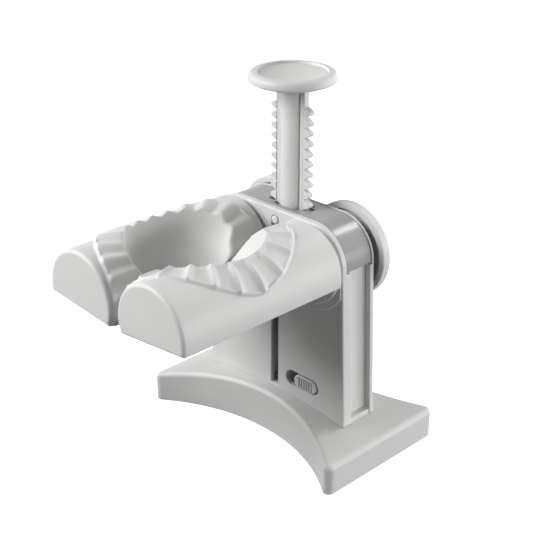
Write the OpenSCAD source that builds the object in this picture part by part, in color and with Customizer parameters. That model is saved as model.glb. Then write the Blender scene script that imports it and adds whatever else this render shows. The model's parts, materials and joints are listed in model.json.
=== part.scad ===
// Plunger press that folds and crimps empanadas between two half moulds.
// Pushing the button drives a double rack down. The rack turns a pinion on
// each mould's shaft, so the moulds roll inwards against each other.
// X runs along the base, the moulds reach forward to -Y, and Z is up.
// The origin is the middle of the base's underside, below the plunger.

/* [Base] */
// Length of the base
base_w = 118; // [112:1:130]
// Depth of the base over its corners
base_d = 72; // [66:1:84]
// Depth of the base at its waist
base_waist_d = 34; // [32:1:40]
// Height of the arched top at the middle
base_crown_h = 21; // [19:0.5:24]
// Height of the arched top at the ends
base_end_h = 14.5; // [13:0.5:16]
// Radius of the base's upright corners
base_corner_r = 3.5; // [3:0.5:6]
// Wall of the base shell
base_wall = 2.5; // [2:0.25:3]
// Thickness of the plate that closes the base
base_plate_t = 2.5; // [2.5:0.25:3.5]

/* [Upright] */
// Width of the upright at its foot
upright_w = 88; // [87:0.5:94]
// How far each side of the upright leans in from its foot to its top
upright_lean = 3.9; // [3.5:0.1:4.2]
// Depth of the upright
upright_d = 21; // [21:0.5:26]
// Height of the upright's top
upright_top_z = 111.6; // [111.6:0.2:118]
// Radius of the upright's top corners
upright_corner_r = 17.5; // [16:0.5:18]
// Wall of the front and rear covers
cover_wall = 2.5; // [2:0.25:2.5]
// Depth of the channels down the upright's sides
channel_depth = 3; // [2:0.25:3]
// Depth of the front cover's rim, front to back
front_rim_d = 5.5; // [4.5:0.25:6]
// Depth of the rear cover's rim, front to back
rear_rim_d = 3; // [2.75:0.25:4]
// Wall of the middle frame
frame_wall = 1.2; // [1:0.1:1.3]
// Height where the trim band ends on the sides
band_z = 92; // [84:1:96]
// Width of the trim band
band_w = 16.3; // [14:0.1:16.4]

/* [Plunger and gears] */
// Height of the plunger's rim when it is up
plunger_top_z = 172.3; // [171.5:0.1:180]
// How far the plunger travels down
plunger_stroke = 52; // [46:1:52]
// Module of the rack and pinion teeth
gear_module = 1.5; // [1.45:0.01:1.5]
// Number of teeth on each pinion
pinion_teeth = 16; // [15:1:16]
// Number of teeth on each side of the rack
rack_teeth = 17; // [16:1:17]
// Thickness of the rack's toothed plate
rack_t = 3; // [2.5:0.25:3.5]
// Radius of the plunger's button
button_r = 19.5; // [17:0.5:22]
// Radius of the button's dish
button_dish_r = 16.4; // [14:0.2:16.6]

/* [Moulds] */
// Distance between the two mould shafts
roller_gap = 45; // [45:0.1:45.4]
// Height of the mould shafts
axis_z = 92; // [91:0.5:92.5]
// Radius of a mould's arched back
mould_r = 20.3; // [19.5:0.1:20.6]
// Length of a mould
mould_len = 89; // [86:1:92]
// How far the flat underside lies below the shaft
mould_flat_drop = 5.9; // [5:0.1:7]
// Tilt of the flat underside when the plunger is up
mould_rest_tilt = 5.3; // [0:0.1:8]
// Wall of a mould
mould_wall = 2.2; // [1.8:0.1:2.4]
// Radius of the round of dough that the moulds take
wrapper_r = 41; // [38:0.5:41]
// Radius of the bowl that holds the filling
bowl_r = 30; // [28:0.5:30.5]
// Height of the bowl's centre above the shafts
bowl_rise = 26.5; // [26:0.5:28]
// Distance from a mould's rear end to the bowl's centre
bowl_back = 45; // [43.5:0.5:46]
// Radius of the sealing ring in the pleats' valleys
seal_r = 21.3; // [21:0.1:21.4]
// Radius of the sealing ring on the pleats' ridges
ridge_r = 22.3; // [21.8:0.1:22.3]
// Number of pleats round half a wrapper
pleats = 10; // [8:1:12]

/* [Lock] */
// Height of the lock's window
lock_z = 30.3; // [29:0.1:31]
// How far the lock slides
lock_travel = 5; // [4:0.1:5]
// Length of the lock's window
lock_window_w = 20.3; // [19.5:0.1:21]
// Height of the lock's window from edge to edge
lock_window_h = 7.7; // [7:0.1:8.5]
// Length of the lock's knob
lock_knob_w = 14; // [12:0.5:14.5]

/* [Hidden] */
$fn = 96;
LEFT = -1;
RIGHT = 1;

// Colours of the finishes
white = "#e4e4e2";
bright = "#eeeeec";
satin = "#a9abad";
steel = "#8f9296";
rubber = "#4a4b4d";

// Clearances
overrun = 1;          // how far a cut runs past the piece it cuts
seat_gap = 0.1;       // between pieces that sit in each other
slide_gap = 0.3;      // between pieces that slide on each other
running_gap = 0.05;   // round a shaft in its bush
turning_gap = 0.4;    // beside a mould that turns
backlash = 0.15;      // taken off each flank of a tooth

// Screws
screw_r = 1.2;
screw_hole_r = 1.7;
screw_pilot_r = 1.25;
screw_head_r = 2.7;
screw_head_h = 1.2;
screw_recess_r = 3;
screw_recess_h = 1.5;
screw_socket_r = 0.9;
screw_socket_h = 0.6;
boss_r = 3.2;

// Base
base_top_wall = 3;
arch_rise = base_crown_h - base_end_h;
arch_r = (pow(base_w / 2, 2) + pow(arch_rise, 2)) / (2 * arch_rise);
arch_z = base_crown_h - arch_r;
waist_corner_x = base_w / 2 - base_corner_r;
waist_depth = (base_d - base_waist_d) / 2;
waist_r = (pow(waist_corner_x, 2) + pow(waist_depth, 2)) / (2 * waist_depth);
plate_screw_inset_x = 21;
plate_screw_inset_y = 11.4;
plate_screw_x = base_w / 2 - plate_screw_inset_x;
plate_screw_y = waist_y(plate_screw_x) - plate_screw_inset_y;
pad_t = 1.2;
pad_proud = 0.4;
pad_inset = 5;
pad_rim = 1.2;
plate_z = pad_proud + base_plate_t;
base_screw_inset = 12;
base_screw_x = upright_w / 2 - base_screw_inset;
base_boss_h = 3;
base_screw_l = 13;
base_pad_z = base_top(base_screw_x) - base_top_wall - base_boss_h;
plate_screw_l = 9;

// Upright
front_y = -upright_d / 2;
rear_y = upright_d / 2;
front_inner_y = front_y + cover_wall;
rear_inner_y = rear_y - cover_wall;
front_rim_y = front_y + front_rim_d;
rear_rim_y = rear_y - rear_rim_d;
upright_foot_z = arch_z + sqrt(pow(arch_r, 2) - pow(upright_w / 2, 2));
taper = atan(upright_lean / (upright_top_z - upright_foot_z));
corner_z = upright_top_z - upright_corner_r;
corner_steps = 24;
frame_inset = channel_depth + seat_gap;
frame_floor = 2;
sill_h = 2.5;
band_inset = 0.4;
band_inner_inset = channel_depth - seat_gap;
band_front_share = 0.143;
band_front_y = front_y + upright_d * band_front_share;
band_rear_y = band_front_y + band_w;
frame_boss_h = 6;
web_d = 6;
cover_boss_d = 3.9;
cover_screw_shares = [0.36, 0.7];
cover_screw_zs = [for (share = cover_screw_shares)
    upright_foot_z + share * (axis_z - upright_foot_z)];
cover_screw_inset = 9;

// Shafts, pinions and rack
roller_x = roller_gap / 2;
tooth_pitch = PI * gear_module;
pitch_r = gear_module * pinion_teeth / 2;
tip_r = pitch_r + gear_module;
root_depth_share = 1.25;
root_r = pitch_r - gear_module * root_depth_share;
pressure_angle = 20;
gear_base_r = pitch_r * cos(pressure_angle);
flank_steps = 6;
pinion_d = 5;
hub_r = 6.5;
gear_room_y = 6.4;
pinion_half_l = gear_room_y - seat_gap;
rack_pitch_x = roller_x - pitch_r;
rack_tip_x = rack_pitch_x + gear_module;
rack_root_x = rack_pitch_x - gear_module * root_depth_share;
rack_end = 4.2;
rack_rib_x = 5.3;
rack_rib_d = 2.6;
rack_rib_r = (pow(rack_rib_x, 2) + pow(rack_rib_d, 2)) / (2 * rack_rib_d);
rack_low_share = 2.5;
rack_tooth_low = axis_z - tooth_pitch * rack_low_share;
rack_low_z = rack_tooth_low - rack_end;
button_h = 5.1;
rack_top_z = plunger_top_z - button_h;
button_outside_shares = [
    [0, 0], [0.5, 0], [0.74, 0.09], [0.9, 0.2], [0.97, 0.3], [1, 0.45],
    [1, 0.82], [0.975, 0.94], [0.93, 1],
];
button_dish_shares = [[1.05, 0.97], [1, 0.8], [0.86, 0.6], [0.5, 0.5], [0, 0.5]];
tenon_x = 6;
tenon_h = 1.8;
pin_r = 2;
pin_drop = 0.2;
pin_top_z = upright_top_z - frame_inset - pin_drop;
pin_z = pin_top_z - pin_r;
pin_proud = 0.5;
slot_half_w = pin_r + slide_gap;
slot_foot = 1.9;
slot_low_z = base_crown_h + slot_foot;
window_gap = 0.65;
window_side_gap = 1.8;
window_front_x = rack_rib_x + window_side_gap;
window_rear_x = rack_root_x + window_side_gap;
window_y = rack_t / 2 + rack_rib_d + window_gap;
rail_w = 2;
rail_x = rack_rib_x + slide_gap;
rail_low_z = base_crown_h + sill_h + slide_gap;
rail_top_z = upright_top_z - frame_inset - frame_wall - slide_gap;

// Shaft steps, front to rear
journal_r = 4;
drive_side = 5.6;
rear_journal_r = 2.75;
rear_drive_side = 3.8;
disc_gap = 1.8;
collar_pad_h = 0.6;
collar_pad_r = 21;
flange_t = 1.5;
mould_y = front_y - collar_pad_h - flange_t - turning_gap;
flange_r = 17.6;
bush_r = 7;
bush_tail = 1.4;
rear_bush_r = 4.9;
rear_flange_r = 7;
rear_flange_t = 1.2;
rear_bush_proud = 0.8;
socket_l = 13.5;
disc_r = roller_x - turning_gap;
disc_t = 5.3;
disc_y = rear_y + disc_gap;
disc_hub_r = 7;
disc_dish_r = 18.5;
disc_dish_d = 1.2;
disc_round = 1;
disc_screw_room = 2.4;
disc_screw_l = 8;
shaft_rear_y = disc_y + disc_t - disc_screw_room - 2 * seat_gap;

// Moulds
bowl_y = mould_y - bowl_back;
seal_flare_x = 6;
seal_flare = 1;
seal_flare_y = wrapper_r + seal_flare;
seal_drop = 4;
ridge_share = 0.34;
ridge_run = 7;
ridge_end_inset = 1;
ridge_inner_r = bowl_r - ridge_run;
mould_hub_l = 15.5;

// Lock
lock_x = rail_x + rail_w + lock_window_w / 2 + seat_gap;
lock_end_gap = 1;
lock_knob_x = lock_x + lock_window_w / 2 - lock_knob_w / 2 - lock_end_gap;
lock_knob_trim = 0.8;
lock_knob_h = lock_window_h - 2 * slide_gap - lock_knob_trim;
lock_knob_proud = 0.4;
lock_ribs = 6;
lock_rib_w = 0.8;
lock_rib_d = 0.5;
lock_rib_h_share = 0.76;
lock_rib_h = lock_knob_h * lock_rib_h_share;
lock_ribbed_share = 1.2;
lock_ribbed_w = (lock_knob_w - lock_knob_h) * lock_ribbed_share;
bolt_t = 1.5;
bolt_lip = 1.2;
bolt_h = lock_window_h + bolt_lip * 2;
bolt_x = rail_x + rail_w + lock_travel + slide_gap;
bolt_w = 18;
bolt_tongue_h = 2.6;
bolt_tongue_t = 2.4;
bolt_tongue_x = rack_tip_x + turning_gap * 3;
bolt_arm_w = 5;
bolt_arm_x = bolt_x + bolt_w / 2 - bolt_arm_w / 2;
ledge_h = 1.2;
ledge_d = cover_boss_d / 2;
retainer_t = 1;
retainer_w = bolt_w + 2 * slide_gap;
retainer_x = bolt_x - slide_gap;
notch_h = bolt_tongue_h + 2 * turning_gap;
notch_x = bolt_tongue_x - lock_travel - turning_gap;

// Height of the base's arched top at a distance from the middle
function base_top(x) = arch_z + sqrt(pow(arch_r, 2) - pow(x, 2));

// Half depth of the base at a distance from the middle
function waist_y(x) = base_waist_d / 2 + waist_r - sqrt(pow(waist_r, 2) - pow(x, 2));

// Half width of the upright at a height, less an inset
function side_x(z, inset = 0) =
    upright_w / 2 - (z - upright_foot_z) * tan(taper) - inset / cos(taper);

// Point of an involute of the pinion's base circle
function involute(roll) = [
    gear_base_r * (cos(roll) + roll * PI / 180 * sin(roll)),
    gear_base_r * (sin(roll) - roll * PI / 180 * cos(roll)),
];
function roll_at(r) = sqrt(pow(max(r, gear_base_r) / gear_base_r, 2) - 1) * 180 / PI;
function turn(p, a) = [p[0] * cos(a) - p[1] * sin(a), p[0] * sin(a) + p[1] * cos(a)];
function polar_angle(p) = atan2(p[1], p[0]);

// Half the angle of a tooth at the base circle, less the backlash
half_tooth = 90 / pinion_teeth + polar_angle(involute(roll_at(pitch_r)))
    - backlash / pitch_r * 180 / PI;
lower_flank = [for (i = [0:flank_steps])
    turn(involute(roll_at(tip_r) * i / flank_steps), -half_tooth)];
upper_flank = [for (i = [flank_steps:-1:0])
    turn(involute(-roll_at(tip_r) * i / flank_steps), half_tooth)];
tooth = concat([turn([root_r, 0], -half_tooth)], lower_flank, upper_flank,
    [turn([root_r, 0], half_tooth)]);

// Extrudes an outline that is drawn in X and Z from one depth to another
module slab(y0, y1) {
    translate([0, y1, 0]) rotate([90, 0, 0]) linear_extrude(y1 - y0) children();
}

// A round bar along Y at a mould's shaft
module round_y(side, r, y0, y1) {
    translate([side * roller_x, y1, axis_z]) rotate([90, 0, 0]) cylinder(r = r, h = y1 - y0);
}

// A square bar along Y at a mould's shaft, turned with the mould
module square_y(side, w, y0, y1) {
    translate([side * roller_x, 0, axis_z]) rotate([0, -side * mould_rest_tilt, 0])
        translate([-w / 2, y0, -w / 2]) cube([w, y1 - y0, w]);
}

// The space under the base's arched top, raised or lowered
module below_arch(raise = 0) {
    translate([0, base_d, arch_z]) rotate([90, 0, 0])
        cylinder(r = arch_r + raise, h = 2 * base_d, $fn = 360);
}

// Plan of the base, waisted front and back
module base_outline(inset = 0) {
    w = base_w / 2 - inset;
    d = base_d / 2 - inset;
    r = max(base_corner_r - inset, seat_gap);
    difference() {
        union() {
            square([2 * w, 2 * (d - r)], center = true);
            square([2 * (w - r), 2 * d], center = true);
            for (x = [-1, 1], y = [-1, 1]) translate([x * (w - r), y * (d - r)]) circle(r);
        }
        for (y = [-1, 1]) translate([0, y * (base_waist_d / 2 + waist_r)])
            circle(waist_r + inset, $fn = 360);
    }
}

// Front view of the upright
module upright_outline(inset = 0) {
    r = upright_corner_r - inset;
    x = side_x(corner_z, upright_corner_r);
    corner = [for (i = [0:corner_steps]) let (a = taper + (90 - taper) * i / corner_steps)
        [x + r * cos(a), corner_z + r * sin(a)]];
    polygon(concat(
        [[-side_x(0, inset), 0], [side_x(0, inset), 0]],
        corner,
        [for (i = [corner_steps:-1:0]) [-corner[i][0], corner[i][1]]]));
}

// A slot with round ends, drawn in X and Z
module stadium(w, h) {
    square([w - h, h], center = true);
    for (s = [-1, 1]) translate([s * (w - h) / 2, 0]) circle(h / 2);
}

// A screw along Z with its head at the bottom, from head to tip
module screw(l) {
    difference() {
        union() {
            cylinder(r = screw_head_r, h = screw_head_h);
            cylinder(r = screw_r, h = l);
        }
        translate([0, 0, -overrun])
            cylinder(r = screw_socket_r, h = screw_socket_h + overrun, $fn = 6);
    }
}

module plate_screw_places() {
    for (x = [-1, 1], y = [-1, 1]) translate([x * plate_screw_x, y * plate_screw_y, 0])
        children();
}

module cover_screw_places() {
    for (s = [-1, 1], z = cover_screw_zs)
        translate([s * (side_x(z) - cover_screw_inset), 0, z]) children();
}

// Base shell, open below, with its screw bosses
module base() {
    color(white) difference() {
        union() {
            difference() {
                intersection() {
                    translate([0, 0, pad_proud]) linear_extrude(base_crown_h) base_outline();
                    below_arch();
                }
                intersection() {
                    translate([0, 0, -overrun]) linear_extrude(base_crown_h)
                        base_outline(base_wall);
                    below_arch(-base_top_wall);
                }
            }
            intersection() {
                union() {
                    plate_screw_places() translate([0, 0, plate_z])
                        cylinder(r = boss_r, h = base_crown_h);
                    for (s = [-1, 1]) translate([s * base_screw_x, 0, base_pad_z])
                        cylinder(r = boss_r + base_wall / 2, h = base_crown_h);
                }
                below_arch(-base_top_wall / 2);
            }
        }
        plate_screw_places() translate([0, 0, plate_z - overrun])
            cylinder(r = screw_pilot_r, h = plate_screw_l);
        for (s = [-1, 1]) translate([s * base_screw_x, 0, 0])
            cylinder(r = screw_hole_r, h = base_crown_h);
    }
}

// Plate that closes the base from below
module base_plate() {
    color(white) difference() {
        translate([0, 0, pad_proud]) linear_extrude(base_plate_t)
            base_outline(base_wall + seat_gap);
        plate_screw_places() {
            cylinder(r = screw_hole_r, h = plate_z + overrun);
            cylinder(r = screw_recess_r, h = pad_proud + screw_recess_h);
        }
        difference() {
            linear_extrude(pad_t) base_outline(pad_inset - seat_gap);
            plate_screw_places() cylinder(r = screw_recess_r + pad_rim, h = pad_t);
        }
    }
}

// Soft pad under the plate, which the press stands on
module grip_pad() {
    color(rubber) difference() {
        linear_extrude(pad_t) base_outline(pad_inset);
        plate_screw_places() translate([0, 0, -overrun])
            cylinder(r = screw_recess_r + pad_rim + seat_gap, h = pad_t + 2 * overrun);
    }
}

// Screws of the base plate
module plate_screws() {
    color(steel) plate_screw_places()
        translate([0, 0, pad_proud + screw_recess_h - screw_head_h]) screw(plate_screw_l);
}

// Screws that hold the upright on the base, from inside the base
module base_screws() {
    color(steel) for (s = [-1, 1])
        translate([s * base_screw_x, 0, base_pad_z - screw_head_h])
            screw(base_screw_l);
}

// Room that the trim band needs in both covers
module band_rebate() {
    difference() {
        slab(band_front_y - seat_gap, band_rear_y + seat_gap) upright_outline(-overrun);
        slab(front_y, rear_y) upright_outline(channel_depth);
        translate([-upright_w, -upright_d, 0])
            cube([2 * upright_w, 2 * upright_d, band_z - seat_gap]);
    }
}

// Front cover with its collar pads, guide slot and lock window
module front_cover() {
    color(white) difference() {
        union() {
            slab(front_y, front_inner_y) upright_outline();
            difference() {
                slab(front_y, front_rim_y) upright_outline();
                slab(front_y, front_rim_y + overrun) upright_outline(channel_depth);
            }
            intersection() {
                for (s = [-1, 1]) round_y(s, collar_pad_r, front_y - collar_pad_h, front_inner_y);
                slab(front_y - upright_d, front_inner_y) upright_outline(band_inset * 2);
            }
            cover_screw_places() rotate([90, 0, 0]) translate([0, 0, -front_inner_y - cover_boss_d])
                cylinder(r = boss_r, h = cover_boss_d + cover_wall / 2);
            for (s = [-1, 1]) translate([retainer_x, front_inner_y - cover_wall / 2,
                lock_z + s * (bolt_h / 2 + slide_gap + ledge_h / 2) - ledge_h / 2])
                cube([retainer_w, ledge_d + cover_wall / 2, ledge_h]);
        }
        below_arch(seat_gap);
        band_rebate();
        slab(front_y - upright_d, 0) {
            translate([-slot_half_w, slot_low_z])
                square([2 * slot_half_w, pin_z - slot_low_z]);
            translate([0, pin_z]) circle(slot_half_w);
            translate([lock_x, lock_z]) stadium(lock_window_w, lock_window_h);
        }
        for (s = [-1, 1]) round_y(s, bush_r + seat_gap, front_y - upright_d, 0);
        cover_screw_places() rotate([90, 0, 0])
            translate([0, 0, -front_inner_y - cover_boss_d - overrun])
            cylinder(r = screw_pilot_r, h = cover_boss_d + overrun);
    }
}

// Rear cover with its screw recesses
module rear_cover() {
    color(white) difference() {
        union() {
            slab(rear_inner_y, rear_y) upright_outline();
            difference() {
                slab(rear_rim_y, rear_y) upright_outline();
                slab(rear_rim_y - overrun, rear_y) upright_outline(channel_depth);
            }
        }
        below_arch(seat_gap);
        band_rebate();
        for (s = [-1, 1]) round_y(s, rear_bush_r + seat_gap, 0, rear_y + overrun);
        cover_screw_places() translate([0, rear_y, 0]) rotate([90, 0, 0])
            translate([0, 0, -overrun]) {
            cylinder(r = screw_hole_r, h = cover_wall + 2 * overrun);
            cylinder(r = screw_recess_r, h = screw_recess_h + overrun);
        }
    }
}

// Openings that the rack passes through on its way up
module rack_opening() {
    translate([-rack_tip_x - slide_gap * 2, -rack_t / 2 - slide_gap * 2])
        square([2 * rack_tip_x + slide_gap * 4, rack_t + slide_gap * 4]);
    translate([-window_front_x, -window_y]) square([2 * window_front_x, 2 * window_y]);
    translate([-window_rear_x, 0]) square([2 * window_rear_x, window_y]);
}

// Frame between the covers, which shows in the side channels
module mid_frame() {
    color(white) difference() {
        union() {
            difference() {
                slab(front_inner_y, rear_inner_y) upright_outline(frame_inset);
                difference() {
                    slab(-upright_d, upright_d) upright_outline(frame_inset + frame_wall);
                    below_arch(frame_floor);
                }
            }
            intersection() {
                slab(front_rim_y + seat_gap, rear_rim_y - seat_gap) upright_outline(band_inset);
                below_arch(sill_h);
            }
            cover_screw_places() rotate([90, 0, 0])
                translate([0, 0, -rear_inner_y])
                cylinder(r = boss_r, h = rear_inner_y - front_inner_y - cover_boss_d - seat_gap);
            for (s = [0, 1], z = cover_screw_zs) mirror([s, 0, 0])
                translate([side_x(z) - cover_screw_inset, -web_d / 2, z - frame_wall / 2])
                    cube([cover_screw_inset - frame_inset - frame_wall / 2, web_d, frame_wall]);
            for (s = [-1, 1]) translate([s * base_screw_x, 0, base_top(base_screw_x)])
                cylinder(r = boss_r, h = frame_floor + frame_boss_h);
        }
        below_arch(seat_gap);
        translate([0, 0, axis_z]) linear_extrude(upright_top_z) rack_opening();
        translate([-slot_half_w, front_y, axis_z])
            cube([2 * slot_half_w, -front_y, upright_top_z]);
        cover_screw_places() rotate([90, 0, 0])
            cylinder(r = screw_hole_r, h = 2 * upright_d, center = true);
        for (s = [-1, 1]) translate([s * base_screw_x, 0, 0])
            cylinder(r = screw_pilot_r, h = base_pad_z - screw_head_h + base_screw_l + slide_gap);
    }
}

// Satin band over the top of the upright
module trim_band() {
    color(satin) difference() {
        slab(band_front_y, band_rear_y) difference() {
            upright_outline(band_inset);
            upright_outline(band_inner_inset);
            translate([-upright_w, 0]) square([2 * upright_w, band_z]);
        }
        linear_extrude(upright_top_z + overrun) rack_opening();
    }
}

// A pair of rails that guide the rack's rib on one cover
module rail_pair(y0, y1) {
    color(white) for (s = [-1, 1])
        translate([s * (rail_x + rail_w / 2) - rail_w / 2, y0, rail_low_z])
            cube([rail_w, y1 - y0, rail_top_z - rail_low_z]);
}
module front_rails() {
    rail_pair(front_inner_y, -rack_t / 2 - slide_gap);
}
module rear_rails() {
    rail_pair(rack_t / 2 + slide_gap, rear_inner_y);
}

// Screws from the rear cover through the frame into the front cover
module cover_screws() {
    color(steel) cover_screw_places()
        translate([0, rear_y - screw_recess_h + screw_head_h, 0]) rotate([90, 0, 0])
            screw(upright_d - cover_wall - screw_recess_h);
}

// Flanged bush that carries a mould's shaft in the front cover
module front_bush(side) {
    color(bright) difference() {
        union() {
            round_y(side, flange_r, front_y - collar_pad_h - flange_t, front_y - collar_pad_h);
            round_y(side, bush_r, front_y - collar_pad_h, front_inner_y + bush_tail);
        }
        round_y(side, journal_r + running_gap, front_y - upright_d, 0);
    }
}

// Bush that carries the shaft in the rear cover
module rear_bush(side) {
    color(bright) difference() {
        union() {
            round_y(side, rear_flange_r, rear_inner_y - rear_flange_t, rear_inner_y);
            round_y(side, rear_bush_r, rear_inner_y - rear_flange_t, rear_y + rear_bush_proud);
        }
        round_y(side, rear_journal_r + running_gap, 0, rear_y + upright_d);
    }
}

// Plate that keeps the lock's bolt against the front cover
module lock_retainer() {
    y0 = front_inner_y + ledge_d;
    color(white) difference() {
        translate([retainer_x, y0, lock_z - bolt_h / 2 - slide_gap - ledge_h])
            cube([retainer_w, retainer_t, bolt_h + 2 * slide_gap + 2 * ledge_h]);
        translate([bolt_arm_x - lock_travel - slide_gap, y0 - overrun,
            lock_z - bolt_tongue_h / 2 - slide_gap])
            cube([bolt_arm_w + lock_travel + 2 * slide_gap, retainer_t + 2 * overrun,
                bolt_tongue_h + 2 * slide_gap]);
    }
}

// Bolt behind the front cover, whose tongue holds the rack down
module lock_bolt() {
    color(white) {
        translate([bolt_x, front_inner_y + slide_gap / 2, lock_z - bolt_h / 2])
            cube([bolt_w, bolt_t, bolt_h]);
        translate([bolt_arm_x, front_inner_y + bolt_t, lock_z - bolt_tongue_h / 2])
            cube([bolt_arm_w, bolt_tongue_t / 2 - front_inner_y - bolt_t, bolt_tongue_h]);
        translate([bolt_tongue_x, -bolt_tongue_t / 2, lock_z - bolt_tongue_h / 2])
            cube([bolt_arm_x + bolt_arm_w - bolt_tongue_x, bolt_tongue_t, bolt_tongue_h]);
    }
}

// Ribbed knob in the lock's window
module lock_knob() {
    color(bright) {
        slab(front_y - lock_knob_proud, front_inner_y + slide_gap / 2)
            translate([lock_knob_x, lock_z]) stadium(lock_knob_w, lock_knob_h);
        for (i = [0:lock_ribs - 1]) {
            place = (i + 0.5) / lock_ribs - 0.5;
            translate([lock_knob_x + place * lock_ribbed_w - lock_rib_w / 2,
                front_y - lock_knob_proud - lock_rib_d, lock_z - lock_rib_h / 2])
                cube([lock_rib_w, lock_rib_d, lock_rib_h]);
        }
    }
}

// One tooth of the rack, pointing to +X from the root line
module rack_tooth() {
    half = tooth_pitch / 4 - backlash;
    lean = tan(pressure_angle);
    root_half = half + (rack_pitch_x - rack_root_x) * lean;
    tip_half = half - gear_module * lean;
    polygon([
        [0, -root_half], [rack_root_x, -root_half], [rack_tip_x, -tip_half],
        [rack_tip_x, tip_half], [rack_root_x, root_half], [0, root_half],
    ]);
}

// Double rack with a rounded rib down its front and back
module plunger_rack() {
    color(white) difference() {
        union() {
            slab(-rack_t / 2, rack_t / 2) {
                translate([-rack_root_x, rack_low_z])
                    square([2 * rack_root_x, rack_top_z - rack_low_z]);
                for (i = [0:rack_teeth - 1], s = [0, 1])
                    translate([0, rack_tooth_low + i * tooth_pitch]) mirror([s, 0])
                        rack_tooth();
            }
            intersection() {
                translate([0, rack_t / 2 + rack_rib_d - rack_rib_r, rack_low_z])
                    cylinder(r = rack_rib_r, h = rack_top_z - rack_low_z);
                translate([0, rack_rib_r - rack_t / 2 - rack_rib_d, rack_low_z])
                    cylinder(r = rack_rib_r, h = rack_top_z - rack_low_z);
                translate([-rack_rib_x, -window_y, rack_low_z])
                    cube([2 * rack_rib_x, 2 * window_y, rack_top_z - rack_low_z]);
            }
            translate([-tenon_x, -rack_t / 2, rack_top_z - overrun])
                cube([2 * tenon_x, rack_t, tenon_h + overrun]);
        }
        translate([notch_x, -rack_t, lock_z + plunger_stroke - notch_h / 2])
            cube([rack_tip_x, 2 * rack_t, notch_h]);
        translate([0, 0, pin_z]) rotate([90, 0, 0])
            cylinder(r = pin_r / 2 + seat_gap / 2, h = upright_d);
    }
}

// Dished button that the palm presses
module button_profile() {
    polygon(concat(
        [for (p = button_outside_shares) [p[0] * button_r, p[1] * button_h]],
        [for (p = button_dish_shares) [p[0] * button_dish_r, p[1] * button_h]]));
}
module plunger_button() {
    color(bright) difference() {
        translate([0, 0, rack_top_z]) rotate_extrude() button_profile();
        translate([-tenon_x - seat_gap / 2, -rack_t / 2 - seat_gap / 2, rack_top_z - overrun])
            cube([2 * tenon_x + seat_gap, rack_t + seat_gap, tenon_h + seat_gap + overrun]);
    }
}

// Pin that runs in the front cover's slot and stops the plunger
module guide_pin() {
    color(bright) {
        y = rack_t / 2 + rack_rib_d + seat_gap;
        translate([0, -y, pin_z]) rotate([90, 0, 0])
            cylinder(r = pin_r, h = upright_d / 2 + pin_proud - y);
        translate([0, -seat_gap, pin_z]) rotate([90, 0, 0])
            cylinder(r = pin_r / 2, h = y);
    }
}

// The half of the wrapper's plan that a mould seals
module seal_plan() {
    translate([0, bowl_y]) circle(wrapper_r, $fn = 180);
    translate([-seal_flare_x, bowl_y - seal_flare_y])
        square([2 * seal_flare_x, 2 * seal_flare_y]);
}

// Wedges of the pleats' ridges; the two moulds' ridges fall between each other
module ridge_plan(side) {
    pitch = 180 / pleats;
    half = pitch * ridge_share / 2;
    first = side == RIGHT ? 1 - pleats / 2 : 0.5 - pleats / 2;
    last = -first;
    intersection() {
        translate([0, bowl_y]) circle(wrapper_r - ridge_end_inset, $fn = 180);
        for (k = [first:1:last]) translate([0, bowl_y]) rotate(k * pitch + (side - 1) * 90)
            polygon([
                [ridge_inner_r, -ridge_inner_r * tan(half)],
                [wrapper_r, -wrapper_r * tan(half)],
                [wrapper_r, wrapper_r * tan(half)],
                [ridge_inner_r, ridge_inner_r * tan(half)],
            ]);
    }
}

// A mould's arched body, sealing ring, pleats, bowl and hollow underside
module mould(side) {
    front = mould_y - mould_len;
    color(bright) difference() {
        union() {
            intersection() {
                round_y(side, mould_r, front, mould_y);
                translate([side * roller_x, 0, axis_z]) rotate([0, -side * mould_rest_tilt, 0])
                    translate([-roller_gap, front - overrun, -mould_flat_drop])
                        cube([2 * roller_gap, mould_len + 2 * overrun, roller_gap]);
            }
            intersection() {
                union() {
                    intersection() {
                        round_y(side, seal_r, front, mould_y);
                        linear_extrude(2 * axis_z) seal_plan();
                    }
                    intersection() {
                        round_y(side, ridge_r, front, mould_y);
                        linear_extrude(2 * axis_z) ridge_plan(side);
                    }
                }
                translate([-2 * roller_gap, front - overrun, axis_z - seal_drop])
                    cube([4 * roller_gap, mould_len + 2 * overrun, roller_gap]);
            }
        }
        translate([0, bowl_y, axis_z + bowl_rise]) sphere(bowl_r, $fn = 128);
        difference() {
            round_y(side, mould_r - mould_wall, front + mould_wall, mould_y - mould_hub_l);
            translate([0, bowl_y, axis_z + bowl_rise])
                sphere(bowl_r + mould_wall, $fn = 128);
        }
        square_y(side, drive_side + 2 * running_gap, mould_y - socket_l - seat_gap,
            mould_y + overrun);
    }
}

// Shaft from the mould's socket to the rear disc
module shaft(side) {
    color(steel) difference() {
        union() {
            square_y(side, drive_side, mould_y - socket_l, mould_y + overrun);
            round_y(side, journal_r, mould_y + seat_gap, -gear_room_y);
            square_y(side, drive_side, -gear_room_y - overrun, gear_room_y);
            round_y(side, rear_journal_r, gear_room_y - overrun,
                rear_y + rear_bush_proud + seat_gap);
            square_y(side, rear_drive_side, rear_y, shaft_rear_y);
        }
        round_y(side, screw_r + running_gap, shaft_rear_y - disc_screw_l, shaft_rear_y + overrun);
    }
}

// Pinion with a hub on each side; a tooth points at the rack
module pinion(side) {
    color(white) difference() {
        union() {
            slab(-pinion_d / 2, pinion_d / 2)
                translate([side * roller_x, axis_z]) rotate(90 + side * 90) {
                    circle(root_r);
                    for (i = [0:pinion_teeth - 1]) rotate(i * 360 / pinion_teeth) polygon(tooth);
                }
            round_y(side, hub_r, -pinion_half_l, pinion_half_l);
        }
        square_y(side, drive_side + 2 * running_gap, -upright_d, upright_d);
    }
}

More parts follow.
